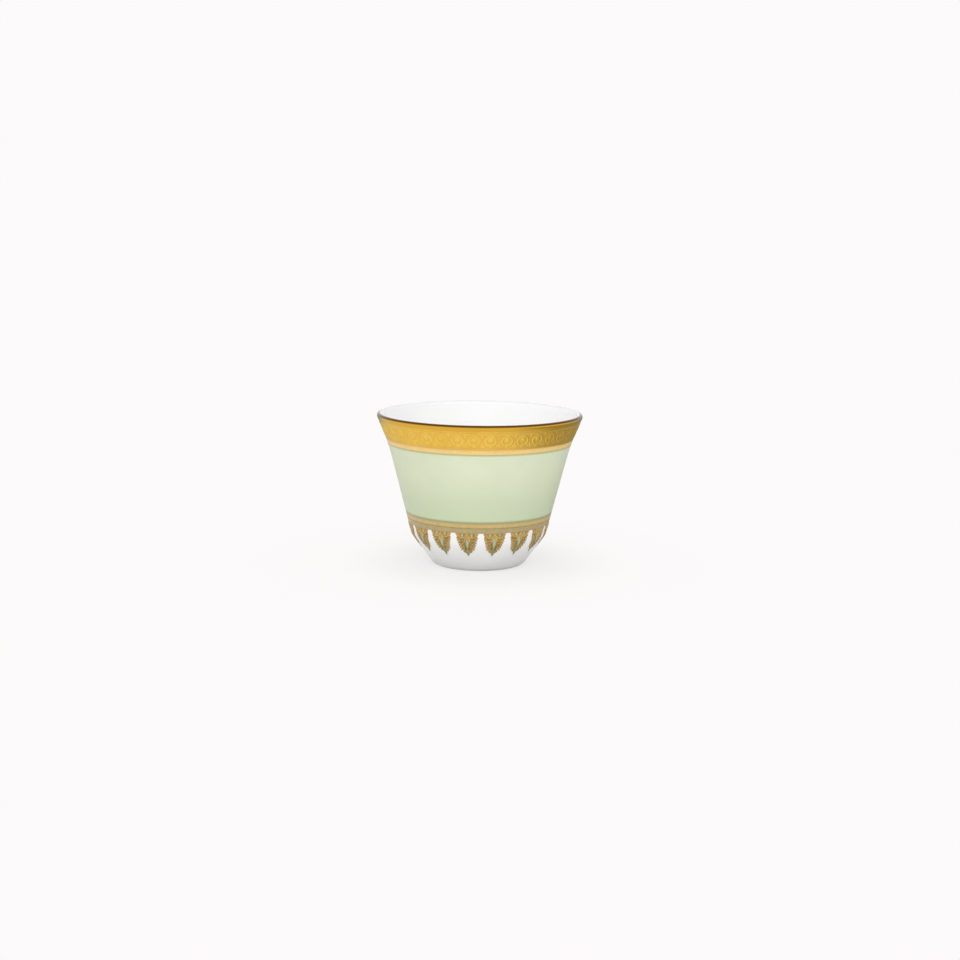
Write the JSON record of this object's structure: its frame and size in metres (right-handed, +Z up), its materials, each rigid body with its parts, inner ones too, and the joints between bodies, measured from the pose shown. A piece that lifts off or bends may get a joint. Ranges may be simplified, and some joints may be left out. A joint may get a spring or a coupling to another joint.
{
  "type": "arabic coffee cup",
  "caption": "Small handleless coffee cup with a flared porcelain bowl on a low foot ring, a gilded ring frieze under the lip, a mint enamel ground and a border of hanging leaves.",
  "frame": {"origin": "centre of the foot ring's resting face", "axes": "+Z up along the axis of the bowl towards the mouth; -Y is the front, where a gap between two leaves faces the viewer"},
  "size_m": [0.0656, 0.0656, 0.0488],
  "materials": {
    "white_porcelain": "clear glaze over white porcelain, bare on the foot ring's resting face",
    "bright_gold": "burnished gold, fired on",
    "dark_gold": "burnished gold line, darker",
    "raised_gold": "raised gold, satin",
    "copper_enamel": "lustrous copper and peach enamel",
    "olive_enamel": "olive enamel line",
    "mint_enamel": "pale mint enamel ground with a satin shine",
    "tan_enamel": "tan and gold enamel line",
    "border_enamel": "mottled taupe enamel",
    "leaf_enamel": "olive brown enamel with darker veins",
    "lens_enamel": "pale green raised enamel",
    "amber_enamel": "amber raised enamel",
    "green_enamel": "leaf green enamel"
  },
  "bodies": {
    "root": {"porcelain_body": "white_porcelain", "lip_gilding": "bright_gold", "frieze_ground": "bright_gold", "gold_edge_line": "dark_gold", "frieze_medallions": "raised_gold", "copper_line": "copper_enamel", "upper_keyline": "olive_enamel", "mint_ground": "mint_enamel", "middle_keyline": "olive_enamel", "tan_line": "tan_enamel", "lower_keyline": "olive_enamel", "leaf_border": "border_enamel", "leaf_tips": "green_enamel", "leaf_lenses": "lens_enamel", "leaf_crowns": "amber_enamel", "leaf_01": "leaf_enamel", "leaf_02": "leaf_enamel", "leaf_03": "leaf_enamel", "leaf_04": "leaf_enamel", "leaf_05": "leaf_enamel", "leaf_06": "leaf_enamel", "leaf_07": "leaf_enamel", "leaf_08": "leaf_enamel", "leaf_09": "leaf_enamel", "leaf_10": "leaf_enamel", "leaf_11": "leaf_enamel", "leaf_12": "leaf_enamel", "leaf_13": "leaf_enamel", "leaf_14": "leaf_enamel", "leaf_15": "leaf_enamel", "leaf_16": "leaf_enamel"}
  },
  "joints": []
}
